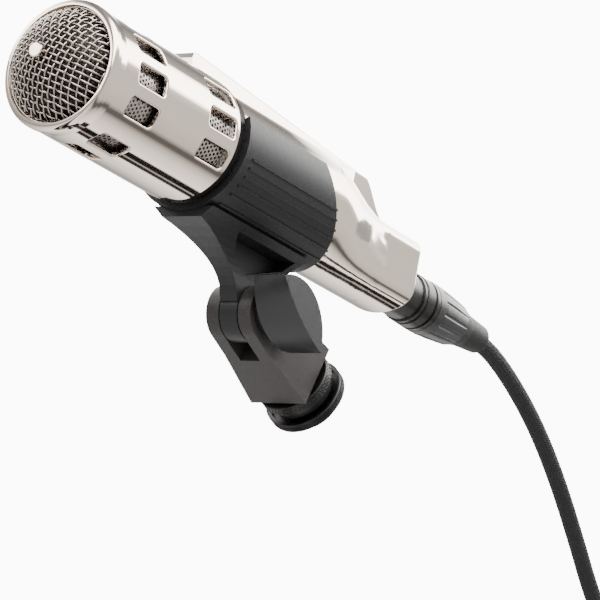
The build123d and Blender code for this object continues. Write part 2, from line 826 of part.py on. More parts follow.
def corded(points, r):
    """A round cord along a route of straight runs and tangent arcs."""
    radii = corner_radii(points)
    print("bend radii", [round(x, 1) for x in radii])
    path = FilletPolyline(*points, radius=radii) if radii else Line(*points)
    start = Plane(origin=path @ 0, z_dir=path % 0)
    tube = sweep(start * Circle(r), path=path)
    print("cord volume ratio", round(tube.volume / (math.pi * r * r * path.length), 4))
    return tube


def coil_ring(grow, start=0.0, arc=360.0):
    """The bundle of turns: a rounded section swept round an axis along Y."""
    wide = 2 * (COIL_HALF_W + grow)
    deep = 2 * (COIL_HALF_T + grow)
    outline = Pos(COIL_R, 0) * RectangleRounded(wide, deep, COIL_CORNER + grow)
    ring = revolve(outline, Axis.Y, arc)
    return Pos(*pivot_point(COIL_CENTRE_X, COIL_CENTRE_Z, COIL_SIDE_Y)) * Rot(0, -start, 0) * ring


def cable_coil():
    """The put-away length of the cable."""
    return coil_ring(0.0)


def mic_cable():
    """The hanging run from the plug down to the coil."""
    return corded(CABLE_ROUTE, CABLE_D / 2) - coil_ring(0.0)


def coil_tie():
    """Strap round the bundle of turns."""
    return coil_ring(TIE_T, TIE_ANGLE + TIE_SPREAD / 2, TIE_SPREAD) - coil_ring(0.0)


TAIL_X = COIL_CENTRE_X + COIL_R + COIL_HALF_W - CABLE_D / 2
FAR = Location(pivot_point(TAIL_X, COIL_CENTRE_Z - TAIL_DROP, COIL_SIDE_Y), (0, 90, 0))


def tail_cable():
    """Free end that leaves the coil's outer turn straight down into the far plug."""
    return FAR * rod_x(CABLE_D / 2, -TAIL_DROP, CABLE_GRIP) - coil_ring(0.0)


def far_boot():
    """Strain relief of the far plug, its thin end up."""
    outline = boot_profile(0, FAR_BOOT_LENGTH, BOOT_R, BOOT_TIP_R, CABLE_D / 2)
    return FAR * turned([(FAR_BOOT_LENGTH - x, r) for x, r in outline])


def far_shell():
    """Shell of the far plug, open at the end round its pins."""
    x0 = FAR_BOOT_LENGTH + FIT_TOUCH
    x1 = FAR_BOOT_LENGTH + FAR_SHELL_LENGTH
    r = NUT_R - 0.7
    return FAR * turned([
        (x0, 0),
        (x0, BOOT_R),
        (x0 + 4, r - 0.2),
        (x0 + 17, r),
        (x0 + 17.3, r - 0.4),
        (x0 + 18.5, r - 0.4),
        (x0 + 18.8, r),
        (x1, r - 0.1),
        (x1, BORE_R),
        (x0 + FAR_WEB, BORE_R),
        (x0 + FAR_WEB, 0),
    ])


FAR_PIN_X = FAR_BOOT_LENGTH + 2 * FIT_TOUCH + FAR_WEB + 2.5


def far_insert():
    """Pin carrier of the far plug."""
    return FAR * rod_x(BORE_R - FIT_TOUCH, FAR_PIN_X - 2.5, FAR_PIN_X)


def far_pins():
    """Pins of the far plug."""
    x = FAR_PIN_X + FIT_TOUCH
    return [FAR * rod_x(PIN_R, x, x + FAR_PIN_LENGTH, y, z + PLUG_DROP) for y, z in pin_places()]


# ---------------------------------------------------------------- clip
def clip_cradle():
    """C-shaped cradle, ribs, flared stem and hub in one moulding."""
    inner = BODY_R + FIT_FREE
    outer = inner + CLIP_WALL
    x1 = 40.0
    ring = tube_x(outer, inner, CLIP_FRONT, x1)
    rib_set = None
    for k in range(RIB_COUNT):
        z = RIB_TOP - RIB_STEP * k
        y = math.sqrt(outer**2 - z**2)
        a = math.degrees(math.atan2(z, y))
        for side in (a, 180 - a):
            bar = on_side(side, 0) * Rectangle(200, RIB_W)
            rib = extrude(bar, outer + RIB_H) & block(RIB_START, x1, -40, 40, -40, 0)
            rib_set = rib if rib_set is None else rib_set + rib
    rib_set = rib_set - rod_x(inner + CLIP_WALL / 2, CLIP_FRONT - 1, x1 + 1)
    ring += rib_set
    lip = math.radians(CLIP_OPEN)
    reach = 60.0
    wedge = [
        (0, 0),
        (-reach * math.cos(lip), reach * math.sin(lip)),
        (-reach * math.cos(lip), reach),
        (reach * math.cos(lip), reach),
        (reach * math.cos(lip), reach * math.sin(lip)),
    ]
    plane = Plane(origin=(CLIP_FRONT - 5, 0, 0), x_dir=(0, 1, 0), z_dir=(1, 0, 0))
    ring -= extrude(plane * make_face(Polyline(*wedge, close=True)), 120, dir=(1, 0, 0))
    far = 40.0
    ring -= side_plate([
        (CLIP_REAR + CLIP_REAR_SLOPE * far, -far),
        (CLIP_REAR - CLIP_REAR_SLOPE * far, far),
        (120, far),
        (120, -far),
    ], -40, 40)
    # stem: a side outline crossed with a flared front outline
    side = [(STEM_FRONT, -inner - 0.6)]
    drop = PIVOT_TO_MIC
    steps = 8
    for k in range(steps + 1):
        f = k / steps
        x = STEM_FRONT + (-HUB_R - 1.6 - STEM_FRONT) * (1 - (1 - f) ** 1.7)
        z = -outer - 2.0 - (drop - outer - 6.0) * f**1.25
        side.append((x, z))
    side += [
        (-HUB_R - 0.4, -drop + 1.5),
        (HUB_R * 0.7, -drop + 1.5),
        (STEM_REAR - 2, -outer - 8),
        (STEM_REAR + 4, -inner - 0.6),
    ]
    web = side_plate(side, -STEM_FLARE, STEM_FLARE)
    flare = []
    for k in range(9):
        f = k / 8
        y = HUB_HALF + (STEM_FLARE - HUB_HALF) * (1 - f) ** 2.4
        z = -inner - 0.4 - (drop - HUB_R - inner + 1.0) * f
        flare.append((y, z))
    front = [(0, -inner + 1.0), (STEM_FLARE, -inner + 1.0)] + flare + [(HUB_HALF, -drop), (0, -drop)]
    plane = Plane(origin=(-60, 0, 0), x_dir=(0, 1, 0), z_dir=(1, 0, 0))
    half = extrude(plane * make_face(Polyline(*front, close=True)), 100, dir=(1, 0, 0))
    web = web & (half + mirror(half, Plane.XZ))
    pocket = side_plate([
        (-25, -outer - 0.6),
        (-18.5, -outer - 7),
        (-12.5, HUB_R + 2.5 - drop),
        (-8.5, HUB_R + 1.5 - drop),
        (STEM_REAR - 3, -outer - 4.5),
        (STEM_REAR - 1, -outer - 0.6),
    ], POCKET_WEB, 40)
    web -= pocket + mirror(pocket, Plane.XZ)
    web -= rod_x(inner + 0.3, -80, 60)
    hub = rod_y(HUB_R, -HUB_HALF, HUB_HALF, 0, -drop)
    body = ring + web + hub
    body -= rod_y(BOLT_R + FIT_RUN, -20, 20, 0, -drop)
    return body


# ---------------------------------------------------------------- yoke and clamp
def swivel_yoke():
    """Two ears on a tapered block."""
    tangent = [
        (0, EAR_R),
        (BLOCK_END, BLOCK_HALF_Z),
        (BLOCK_END, -BLOCK_HALF_Z),
        (0, -EAR_R),
    ]
    half = BLOCK_HALF_Y + 2
    solid = side_plate(tangent, -half, half) + rod_y(EAR_R, -half, half)
    slope = (BLOCK_HALF_Y - EAR_OUT) / (BLOCK_END - EAR_R)
    over = BLOCK_END + 5
    wide = EAR_OUT + slope * (over - EAR_R)
    plan = make_face(Polyline(
        (-20, -EAR_OUT), (EAR_R, -EAR_OUT), (over, -wide),
        (over, wide), (EAR_R, EAR_OUT), (-20, EAR_OUT), close=True))
    solid = solid & (Pos(0, 0, -30) * extrude(plan, 60))
    foot = [e for e in solid.edges() if abs(e.center().X - BLOCK_END) < 0.01]
    solid = chamfer(foot, BLOCK_EDGE)
    solid -= block(-20, SLOT_FLOOR, -EAR_IN, EAR_IN, -30, 30)
    solid -= rod_y(BOLT_R, -20, 20)
    return solid - rod_x(BUSH_R, BUSH_TOP, BLOCK_END + 1)


def friction_washers():
    """Thin washers between the hub and the ears."""
    ring = rod_y(WASHER_R, HUB_HALF + FIT_RUN, EAR_IN) - rod_y(BOLT_R, 0, 20)
    return [ring, mirror(ring, Plane.XZ)]


def pivot_bolt():
    """Headed bolt through the ears, hub and knob."""
    head = Pos(0, EAR_OUT + BOLT_HEAD_T, 0) * Rot(90, 0, 0) * extrude(RegularPolygon(BOLT_HEAD_R, 6), BOLT_HEAD_T)
    return head + rod_y(BOLT_R, BOLT_END, EAR_OUT)


def knob_nut():
    """Brass nut moulded into the knob."""
    nut = extrude(RegularPolygon(NUT_ACROSS / 2, 6), 6.0)
    nut = Pos(0, KNOB_IN, 0) * Rot(90, 0, 0) * nut
    return nut - rod_y(BOLT_R + FIT_RUN, -40, 0)


def lens(y, back, front):
    """Pointed oval outline of the knob at one depth."""
    a = ThreePointArc((-KNOB_REACH, 0), (0, back), (KNOB_REACH, 0))
    b = ThreePointArc((KNOB_REACH, 0), (0, -front), (-KNOB_REACH, 0))
    plane = Plane(origin=(0, y, 0), x_dir=(1, 0, 0), z_dir=(0, -1, 0))
    return plane * make_face(a + b)


def clamp_knob():
    """Wing-shaped clamp knob with a round boss."""
    wing = loft([lens(KNOB_IN, KNOB_BACK_IN, KNOB_FRONT_IN), lens(KNOB_OUT, KNOB_BACK_OUT, KNOB_FRONT_OUT)])
    knob = wing + rod_y(KNOB_BOSS_R, KNOB_IN - 0.3, -EAR_OUT - 0.2)
    nut = Pos(0, KNOB_IN, 0) * Rot(90, 0, 0) * extrude(RegularPolygon(NUT_ACROSS / 2, 6), 6.0)
    knob -= Rot(0, -KNOB_LEAN, 0) * nut
    return knob - rod_y(BOLT_R + 0.4, BOLT_END - 0.6, 0)


def at_knob():
    """Placement of the knob on the pivot."""
    return Location(PIVOT, (0, KNOB_LEAN, 0))


# ---------------------------------------------------------------- stand thread
def rimmed_disc(r, x0, x1):
    """A disc with both rims broken."""
    disc = rod_x(r, x0, x1)
    return chamfer(disc.edges().filter_by(GeomType.CIRCLE), RIM_EDGE)


def thread_bush():
    """Knurled bush that carries the stand thread."""
    bush = rod_x(BUSH_R, BUSH_TOP, PIVOT_TO_MOUTH)
    bush += rimmed_disc(FLANGE_R, BLOCK_END + 0.5, BLOCK_END + 0.5 + FLANGE_T)
    return bush - rod_x(THREAD_R, BUSH_TOP + 2, PIVOT_TO_MOUTH + 1)


def spacer_washer():
    """Black washer between the bush flange and the lock ring."""
    x = BLOCK_END + 0.5 + FLANGE_T
    return tube_x(LOCK_DISH_R - 1.6, BUSH_R, x + FIT_TOUCH, LOCK_TOP - 0.6)


def lock_ring():
    """Knurled ring with a dished top and a short hub."""
    ring = rimmed_disc(LOCK_R, LOCK_TOP, LOCK_BOTTOM)
    ring += rod_x(LOCK_HUB_R, LOCK_BOTTOM - 0.5, PIVOT_TO_MOUTH)
    ring -= rod_x(LOCK_DISH_R, LOCK_TOP - 1, LOCK_TOP + LOCK_DISH)
    return ring - rod_x(BUSH_R + FIT_RUN, LOCK_TOP - 1, PIVOT_TO_MOUTH + 1)


# ---------------------------------------------------------------- output
def save(name, place, made):
    """Write one node, or a group of like pieces, as a STEP file."""
    pieces = made if isinstance(made, list) else [made]
    solids = []
    for piece in pieces:
        placed = place * piece if place is not None else piece
        solids += list(placed.solids())
    shape = solids[0] if len(solids) == 1 else Compound(children=solids)
    export_step(shape, f"parts/{name}.step")
    print(name, len(solids), round(sum(s.volume for s in solids), 1))


MIC_PIECES = {
    "head_shell": head_shell,
    "grille_dome": grille_dome,
    "backing_dome": backing_dome,
    "dome_retaining_ring": retaining_ring,
    "dome_rivet": dome_rivet,
    "inner_screen": inner_screen,
    "magnets": magnets,
    "pole_pieces": pole_pieces,
    "ribbon": ribbon,
    "ribbon_clamps": ribbon_clamps,
    "ribbon_clamp_screws": clamp_screws,
    "return_plate": return_plate,
    "motor_carrier": motor_carrier,
    "carrier_posts": posts,
    "shock_grommets": grommets,
    "acoustic_felt": felt_disc,
    "neck_collar": neck_collar,
    "neck_ring": neck_ring,
    "body_shell": body_shell,
    "top_keel": top_keel,
    "transformer_core": transformer_core,
    "transformer_coil": transformer_coil,
    "transformer_bracket": transformer_cradle,
    "output_board": circuit_board,
    "board_posts": board_posts,
    "xlr_insert": xlr_insert,
    "xlr_pins": xlr_pins,
    "xlr_set_screw": xlr_screw,
    "plug_barrel": plug_barrel,
    "plug_sockets": plug_sockets,
    "plug_shell": plug_shell,
    "plug_latch": latch_tab,
    "plug_nut": plug_nut,
    "plug_chuck": plug_chuck,
    "plug_boot": plug_boot,
    "clip_cradle": clip_cradle,
}

BASE_PIECES = {
    "swivel_yoke": swivel_yoke,
    "friction_washers": friction_washers,
    "pivot_bolt": pivot_bolt,
    "thread_bush": thread_bush,
    "spacer_washer": spacer_washer,
    "lock_ring": lock_ring,
}

WORLD_PIECES = {
    "mic_cable": mic_cable,
    "cable_coil": cable_coil,
    "coil_tie": coil_tie,
    "tail_cable": tail_cable,
    "far_plug_boot": far_boot,
    "far_plug_shell": far_shell,
    "far_plug_insert": far_insert,
    "far_plug_pins": far_pins,
}



def main():
    """Write every node."""
    for node, build in MIC_PIECES.items():
        save(node, MIC, build())
    for node, build in BASE_PIECES.items():
        save(node, BASE, build())
    save("clamp_knob", at_knob(), clamp_knob())
    save("knob_nut", Location(PIVOT), knob_nut())
    for node, build in WORLD_PIECES.items():
        save(node, None, build())


if __name__ == "__main__":
    main()
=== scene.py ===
import bpy
import bmesh
import json
import math
from mathutils import Matrix, Vector


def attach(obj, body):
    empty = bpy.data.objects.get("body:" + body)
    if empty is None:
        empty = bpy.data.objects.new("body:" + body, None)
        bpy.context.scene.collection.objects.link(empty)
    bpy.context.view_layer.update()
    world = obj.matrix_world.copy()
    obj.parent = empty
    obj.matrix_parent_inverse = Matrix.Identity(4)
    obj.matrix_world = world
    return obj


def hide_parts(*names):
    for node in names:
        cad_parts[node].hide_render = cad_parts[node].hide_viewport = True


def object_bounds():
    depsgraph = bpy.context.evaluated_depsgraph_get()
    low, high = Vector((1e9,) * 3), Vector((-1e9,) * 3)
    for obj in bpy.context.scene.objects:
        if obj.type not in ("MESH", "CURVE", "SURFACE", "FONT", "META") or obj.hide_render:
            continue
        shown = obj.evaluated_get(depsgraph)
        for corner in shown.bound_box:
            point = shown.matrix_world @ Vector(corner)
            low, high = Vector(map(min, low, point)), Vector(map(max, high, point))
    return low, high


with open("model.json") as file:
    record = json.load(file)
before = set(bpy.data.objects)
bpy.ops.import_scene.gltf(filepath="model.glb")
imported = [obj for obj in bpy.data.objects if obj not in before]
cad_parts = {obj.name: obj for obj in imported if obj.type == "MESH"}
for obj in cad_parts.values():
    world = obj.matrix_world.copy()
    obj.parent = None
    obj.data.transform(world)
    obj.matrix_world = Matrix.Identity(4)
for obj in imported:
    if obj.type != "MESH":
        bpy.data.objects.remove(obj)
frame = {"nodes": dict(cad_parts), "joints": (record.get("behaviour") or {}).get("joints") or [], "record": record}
CAD_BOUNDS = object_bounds()
NODES = frame["nodes"]
JOINTS = {j["name"]: j for j in frame["joints"]}

# ---------------------------------------------------------------- frame of the microphone
PIVOT = Vector(JOINTS["clip_tilt"]["pos_m"])
AXIS = -Vector(JOINTS["microphone_slide"]["axis"]).normalized()
SIDE = Vector((0, 1, 0))
UP = AXIS.cross(SIDE).normalized()
STAND = Vector(JOINTS["lock_ring_turn"]["axis"]).normalized()
STAND_UP = STAND.cross(SIDE).normalized()
PIVOT_TO_MIC = 0.0474
MIC_ORIGIN = PIVOT + PIVOT_TO_MIC * UP


def placing(origin, x, y, z):
    """A matrix that takes local axes to these directions at this origin."""
    m = Matrix((x, y, z)).transposed().to_4x4()
    m.translation = origin
    return m


MIC = placing(MIC_ORIGIN, AXIS, SIDE, UP)
BASE = placing(PIVOT, STAND, SIDE, STAND_UP)


def along(node, place):
    """The nearest and furthest reach of a node along a placing's X axis, and its largest radius."""
    inverse = place.inverted()
    points = [inverse @ v.co for v in NODES[node].data.vertices]
    radius = max(math.hypot(p.y, p.z) for p in points)
    return min(p.x for p in points), max(p.x for p in points), radius


# ---------------------------------------------------------------- materials
def shader(name, color, metallic=0.0, roughness=0.5, **more):
    """A material with one principled shader."""
    m = bpy.data.materials.new(name)
    m.use_nodes = True
    bsdf = m.node_tree.nodes["Principled BSDF"]
    bsdf.inputs["Base Color"].default_value = (*color, 1)
    bsdf.inputs["Metallic"].default_value = metallic
    bsdf.inputs["Roughness"].default_value = roughness
    for key, value in more.items():
        bsdf.inputs[key.replace("_", " ")].default_value = value
    return m


def node_of(m, kind, **values):
    """A new shader node with these socket values."""
    n = m.node_tree.nodes.new(kind)
    for key, value in values.items():
        n.inputs[key.replace("_", " ")].default_value = value
    return n


def coords(m, stretch=(1, 1, 1)):
    """Object coordinates, stretched along the microphone's own axes."""
    tex = m.node_tree.nodes.new("ShaderNodeTexCoord")
    mapping = m.node_tree.nodes.new("ShaderNodeMapping")
    tilt = math.atan2(-AXIS.z, AXIS.x)
    turn = m.node_tree.nodes.new("ShaderNodeVectorRotate")
    turn.rotation_type = "Y_AXIS"
    turn.inputs["Angle"].default_value = -tilt
    m.node_tree.links.new(tex.outputs["Object"], turn.inputs["Vector"])
    m.node_tree.links.new(turn.outputs["Vector"], mapping.inputs["Vector"])
    mapping.inputs["Scale"].default_value = stretch
    return mapping.outputs["Vector"]


def noise(m, vector, scale, detail=4.0, rough=0.55):
    """A noise texture's factor."""
    n = node_of(m, "ShaderNodeTexNoise", Scale=scale, Detail=detail, Roughness=rough)
    m.node_tree.links.new(vector, n.inputs["Vector"])
    return n.outputs["Fac"]


def remap(m, value, low, high):
    """Spreads a 0..1 value over low..high."""
    n = node_of(m, "ShaderNodeMapRange")
    n.inputs["To Min"].default_value = low
    n.inputs["To Max"].default_value = high
    m.node_tree.links.new(value, n.inputs["Value"])
    return n.outputs["Result"]


def add_bump(m, height, strength, distance):
    """Bumps the shader's normal by a height."""
    bump = node_of(m, "ShaderNodeBump", Strength=strength, Distance=distance)
    m.node_tree.links.new(height, bump.inputs["Height"])
    bsdf = m.node_tree.nodes["Principled BSDF"]
    m.node_tree.links.new(bump.outputs["Normal"], bsdf.inputs["Normal"])


def vary(m, scale, amount, stretch=(1, 1, 1)):
    """Lets the roughness wander by a noise, and returns the noise."""
    bsdf = m.node_tree.nodes["Principled BSDF"]
    mid = bsdf.inputs["Roughness"].default_value
    fac = noise(m, coords(m, stretch), scale)
    m.node_tree.links.new(remap(m, fac, mid - amount, mid + amount), bsdf.inputs["Roughness"])
    return fac


def tint(m, fac, dark, light):
    """Mixes two colours by a factor into the base colour."""
    mix = m.node_tree.nodes.new("ShaderNodeMix")
    mix.data_type = "RGBA"
    mix.inputs[6].default_value = (*dark, 1)
    mix.inputs[7].default_value = (*light, 1)
    m.node_tree.links.new(fac, mix.inputs[0])
    m.node_tree.links.new(mix.outputs[2], m.node_tree.nodes["Principled BSDF"].inputs["Base Color"])


def nickel(name="nickel"):
    """Warm plated metal with a fine lengthwise grain and faint smears."""
    m = shader(name, (0.60, 0.51, 0.44), 1.0, 0.07)
    grain = noise(m, coords(m, (6, 60, 60)), 5.0, 2.0)
    smear = vary(m, 45.0, 0.03)
    tint(m, smear, (0.585, 0.50, 0.43), (0.64, 0.555, 0.49))
    add_bump(m, grain, 0.012, 0.0001)
    return m


def plain_metal(name, color, roughness, grain=300.0):
    """Machined metal with fine marks."""
    m = shader(name, color, 1.0, roughness)
    fac = vary(m, grain, 0.07, (1, 6, 6))
    add_bump(m, fac, 0.06, 0.0001)
    return m


def plastic(name, color, roughness, size, strength, coat=0.0, gloss=0.25):
    """Moulded plastic or rubber with a fine spark-eroded grain."""
    m = shader(name, color, 0.0, roughness, Coat_Weight=coat, Specular_IOR_Level=gloss)
    fac = vary(m, size, 0.06)
    pale = tuple(min(1.0, c * 1.35 + 0.002) for c in color)
    tint(m, fac, color, pale)
    add_bump(m, noise(m, coords(m), size * 3, 2.0), strength, 0.0002)
    return m


def fibre(name, color):
    """Cloth or felt with a fuzzy surface."""
    m = shader(name, color, 0.0, 0.7, Sheen_Weight=0.06, Sheen_Roughness=0.4, Specular_IOR_Level=0.3)
    fac = noise(m, coords(m), 900.0, 6.0, 0.7)
    tint(m, fac, tuple(c * 0.6 for c in color), tuple(min(1, c * 1.7 + 0.004) for c in color))
    add_bump(m, fac, 0.5, 0.0005)
    return m


def board_green():
    """Lacquered circuit board."""
    m = shader("board", (0.01, 0.12, 0.05), 0.0, 0.35, Coat_Weight=0.4)
    tint(m, vary(m, 160.0, 0.05), (0.008, 0.09, 0.035), (0.02, 0.2, 0.08))
    return m


NICKEL = nickel()
WIRE = plain_metal("woven_wire", (0.36, 0.315, 0.28), 0.22)
GAUZE = plain_metal("gauze", (0.03, 0.027, 0.025), 0.5)
# The screen's metal colour is partly its own darker metal and partly painted shade for the recessed slots it sits
# behind.
SCREEN_WITH_PAINTED_SHADE = plain_metal("screen", (0.30, 0.27, 0.245), 0.3)
STEEL = plain_metal("steel", (0.5, 0.5, 0.51), 0.3)
ALU = plain_metal("aluminium", (0.72, 0.72, 0.74), 0.35)
BRASS = plain_metal("brass", (0.72, 0.52, 0.22), 0.3)
SILVER = plain_metal("silver", (0.82, 0.82, 0.82), 0.2)
DARK_METAL = plain_metal("dark_metal", (0.030, 0.029, 0.029), 0.34)
BLACK_PAINT = plastic("satin_black", (0.008, 0.008, 0.009), 0.36, 300.0, 0.05, 0.0, 0.35)
CLIP = plastic("clip_plastic", (0.008, 0.008, 0.009), 0.48, 420.0, 0.12)
YOKE = plastic("yoke_paint", (0.028, 0.025, 0.024), 0.5, 500.0, 0.2)
RUBBER = plastic("rubber", (0.007, 0.007, 0.007), 0.6, 500.0, 0.1)
FELT = fibre("felt", (0.03, 0.03, 0.03))
STRAP = fibre("strap", (0.018, 0.018, 0.018))
COTTON = fibre("braid", (0.010, 0.010, 0.011))
COIL = plastic("coil_tape", (0.30, 0.14, 0.04), 0.5, 240.0, 0.1)
BOARD = board_green()

LOOKS = {
    "nickel": NICKEL,
    "mesh_metal": SCREEN_WITH_PAINTED_SHADE,
    "steel": STEEL,
    "magnet": SILVER,
    "aluminium": ALU,
    "brass": BRASS,
    "felt": FELT,
    "rubber": RUBBER,
    "coil_plastic": COIL,
    "board": BOARD,
    "black_plastic": BLACK_PAINT,
    "yoke_paint": YOKE,
    "dark_metal": DARK_METAL,
    "silver_pins": SILVER,
    "cable_jacket": COTTON,
    "strap": STRAP,
}


def dress_cad():
    """Gives every CAD node its slot's material and smooth shading on its round faces."""
    slots = {s["node"]: s["material_slot"] for s in frame["record"]["subparts"]}
    for name, obj in NODES.items():
        look = CLIP if name == "clip_cradle" else LOOKS[slots[name]]
        if name == "backing_dome":
            look = GAUZE
        obj.data.materials.clear()
        obj.data.materials.append(look)
        obj.data.shade_smooth()
        obj.data.set_sharp_from_angle(angle=math.radians(28))


# ---------------------------------------------------------------- meshes
def new_piece(name, verts, faces, material, body, smooth=True):
    """A mesh piece in the row frame that rides on a body."""
    mesh = bpy.data.meshes.new(name)
    mesh.from_pydata([tuple(v) for v in verts], [], faces)
    mesh.validate()
    mesh.materials.append(material)
    if smooth:
        mesh.shade_smooth()
    obj = bpy.data.objects.new(name, mesh)
    bpy.context.scene.collection.objects.link(obj)
    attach(obj, body)
    return obj


def tube(points, normals, radius, sides, closed=False):
    """Vertices and faces of a thin tube along points, kept upright by normals."""
    verts = []
    faces = []
    n = len(points)
    for i, p in enumerate(points):
        before = points[i - 1] if i > 0 or closed else p
        after = points[(i + 1) % n] if i < n - 1 or closed else p
        ahead = (after - before).normalized()
        across = ahead.cross(normals[i]).normalized()
        up = across.cross(ahead)
        for k in range(sides):
            a = 2 * math.pi * (k + 0.5) / sides
            verts.append(p + radius * (math.cos(a) * across + math.sin(a) * up))
    for i in range(n if closed else n - 1):
        j = (i + 1) % n
        for k in range(sides):
            q = (k + 1) % sides
            faces.append((i * sides + k, i * sides + q, j * sides + q, j * sides + k))
    if not closed:
        faces.append(tuple(range(sides - 1, -1, -1)))
        faces.append(tuple(range((n - 1) * sides, n * sides)))
    return verts, faces


class Pile:
    """Collects many small meshes into one."""

    def __init__(self):
        self.verts = []
        self.faces = []

    def add(self, part):
        start = len(self.verts)
        self.verts += part[0]
        self.faces += [tuple(start + i for i in f) for f in part[1]]


def spun(place, profile, teeth, depth, lean, span, steps=4):
    """A turned rim whose teeth are cut by two crossed helices, for a diamond knurl."""
    x0, x1 = span
    verts = []
    faces = []
    around = teeth * steps
    rows = len(profile)
    for x, r in profile:
        for k in range(around):
            a = 2 * math.pi * k / around
            cut = 0.0
            if x0 < x < x1:
                twist = lean * (x - x0) / (x1 - x0)
                one = abs(math.sin(teeth * (a + twist) / 2))
                two = abs(math.sin(teeth * (a - twist) / 2))
                cut = depth * (1 - min(one, two) * 1.6)
            rr = r - max(0.0, cut)
            verts.append(place @ Vector((x, rr * math.cos(a), rr * math.sin(a))))
    for i in range(rows - 1):
        for k in range(around):
            q = (k + 1) % around
            faces.append((i * around + k, i * around + q, (i + 1) * around + q, (i + 1) * around + k))
    return verts, faces


# ---------------------------------------------------------------- camera, light and floor
HEADING = math.radians(55.4)
AHEAD = Vector((math.sin(HEADING), math.cos(HEADING), 0))
CAMERA_FROM_PIVOT = Vector((-1.0268, -0.7322, 0.005))
SENSOR_MM = 36
LENS_MM = 213.72
ROOM = 0.75
BACKDROP = 11.0
FLOOR_DROP = 0.12
FLOOR_R = 3.0
TENT_R = 0.26
TENT_REACH = 0.8
TENT_TURN = 0.31
# Brightness round the microphone's axis: degrees up from its -Y side, then the glow there.
STRIPS = [
    (-180, 0.8), (-168, 0.55), (-144, 1.6), (-122, 2.6), (-117, 2.6), (-115, 0.03), (-109, 0.03),
    (-107, 1.2), (-105, 0.02), (-96, 0.02), (-93, 2.8), (-72, 2.0), (-60, 1.2), (-52, 0.22), (-46, 0.22),
    (-38, 1.2), (-10, 1.45), (24, 1.4), (34, 2.0), (42, 14.0), (72, 12.0), (82, 0.9), (108, 0.36),
    (124, 0.8), (144, 7.0), (153, 9.0), (160, 0.9), (180, 0.8),
]


def camera():
    """A level camera in front of the head, on the clamp knob's side."""
    cam = bpy.data.objects.new("camera", bpy.data.cameras.new("camera"))
    bpy.context.scene.collection.objects.link(cam)
    right = Vector((math.cos(HEADING), -math.sin(HEADING), 0))
    cam.location = PIVOT + CAMERA_FROM_PIVOT
    cam.rotation_euler = Matrix((right, (0, 0, 1), -AHEAD)).transposed().to_euler()
    cam.data.sensor_width = SENSOR_MM
    cam.data.lens = LENS_MM
    cam.data.clip_start = 0.05
    cam.data.clip_end = 30
    bpy.context.scene.camera = cam


def area_light(name, place, aim, size, power, color=(1, 1, 1)):
    """A soft rectangular light aimed at a point."""
    data = bpy.data.lights.new(name, "AREA")
    data.shape = "RECTANGLE"
    data.size, data.size_y = size
    data.energy = power
    data.color = color
    obj = bpy.data.objects.new(name, data)
    bpy.context.scene.collection.objects.link(obj)
    obj.location = place
    obj.rotation_euler = (Vector(aim) - Vector(place)).to_track_quat("-Z", "Y").to_euler()


def floor():
    """A pale round floor far below."""
    bm = bmesh.new()
    bmesh.ops.create_circle(bm, cap_ends=True, radius=FLOOR_R, segments=96)
    mesh = bpy.data.meshes.new("floor")
    bm.to_mesh(mesh)
    bm.free()
    mesh.materials.append(shader("floor", (0.9, 0.9, 0.895), 0.0, 1.0, Specular_IOR_Level=0.0))
    obj = bpy.data.objects.new("floor", mesh)
    bpy.context.scene.collection.objects.link(obj)
    obj.location = (MIC_ORIGIN.x, MIC_ORIGIN.y, CAD_BOUNDS[0].z - FLOOR_DROP)


def studio_world():
    """Soft even light, with a white backdrop behind the object."""
    world = bpy.data.worlds.new("studio")
    world.use_nodes = True
    tree = world.node_tree
    tex = tree.nodes.new("ShaderNodeTexCoord")
    dot = tree.nodes.new("ShaderNodeVectorMath")
    dot.operation = "DOT_PRODUCT"
    dot.inputs[1].default_value = AHEAD
    tree.links.new(tex.outputs["Generated"], dot.inputs[0])
    span = tree.nodes.new("ShaderNodeMapRange")
    span.interpolation_type = "SMOOTHSTEP"
    span.inputs["From Min"].default_value = math.cos(math.radians(16))
    span.inputs["From Max"].default_value = math.cos(math.radians(8))
    span.inputs["To Min"].default_value = ROOM
    span.inputs["To Max"].default_value = BACKDROP
    tree.links.new(dot.outputs["Value"], span.inputs["Value"])
    back = tree.nodes["Background"]
    back.inputs["Color"].default_value = (1.0, 0.998, 0.995, 1)
    tree.links.new(span.outputs["Result"], back.inputs["Strength"])
    bpy.context.scene.world = world


def light_tent():
    """Long light strips and dark gaps round the microphone, seen only as reflections."""
    rows = (-TENT_REACH, TENT_TURN - 0.02, TENT_TURN + 0.02, TENT_REACH)
    verts = []
    glow = []
    for x in rows:
        for angle, value in STRIPS:
            a = math.radians(angle)
            verts.append(MIC @ Vector((x, -TENT_R * math.cos(a), TENT_R * math.sin(a))))
            clear = x > TENT_TURN and 72 < angle < 150
            glow.append(9.0 if clear else value)
    n = len(STRIPS)
    faces = [
        (i * n + k, i * n + k + 1, (i + 1) * n + k + 1, (i + 1) * n + k)
        for i in range(len(rows) - 1)
        for k in range(n - 1)
    ]
    mesh = bpy.data.meshes.new("light_tent")
    mesh.from_pydata([tuple(v) for v in verts], [], faces)
    mesh.attributes.new("glow", "FLOAT", "POINT").data.foreach_set("value", glow)
    m = shader("strips", (0, 0, 0), 0.0, 1.0, Specular_IOR_Level=0.0)
    m.node_tree.nodes["Principled BSDF"].inputs["Emission Color"].default_value = (1.0, 0.985, 0.965, 1)
    read = m.node_tree.nodes.new("ShaderNodeAttribute")
    read.attribute_name = "glow"
    strength = m.node_tree.nodes["Principled BSDF"].inputs["Emission Strength"]
    m.node_tree.links.new(read.outputs["Fac"], strength)
    m.cycles.emission_sampling = "NONE"
    mesh.materials.append(m)
    obj = bpy.data.objects.new("light_tent", mesh)
    bpy.context.scene.collection.objects.link(obj)
    obj.visible_camera = False
    obj.visible_diffuse = False
    obj.visible_shadow = False
    obj.visible_transmission = False


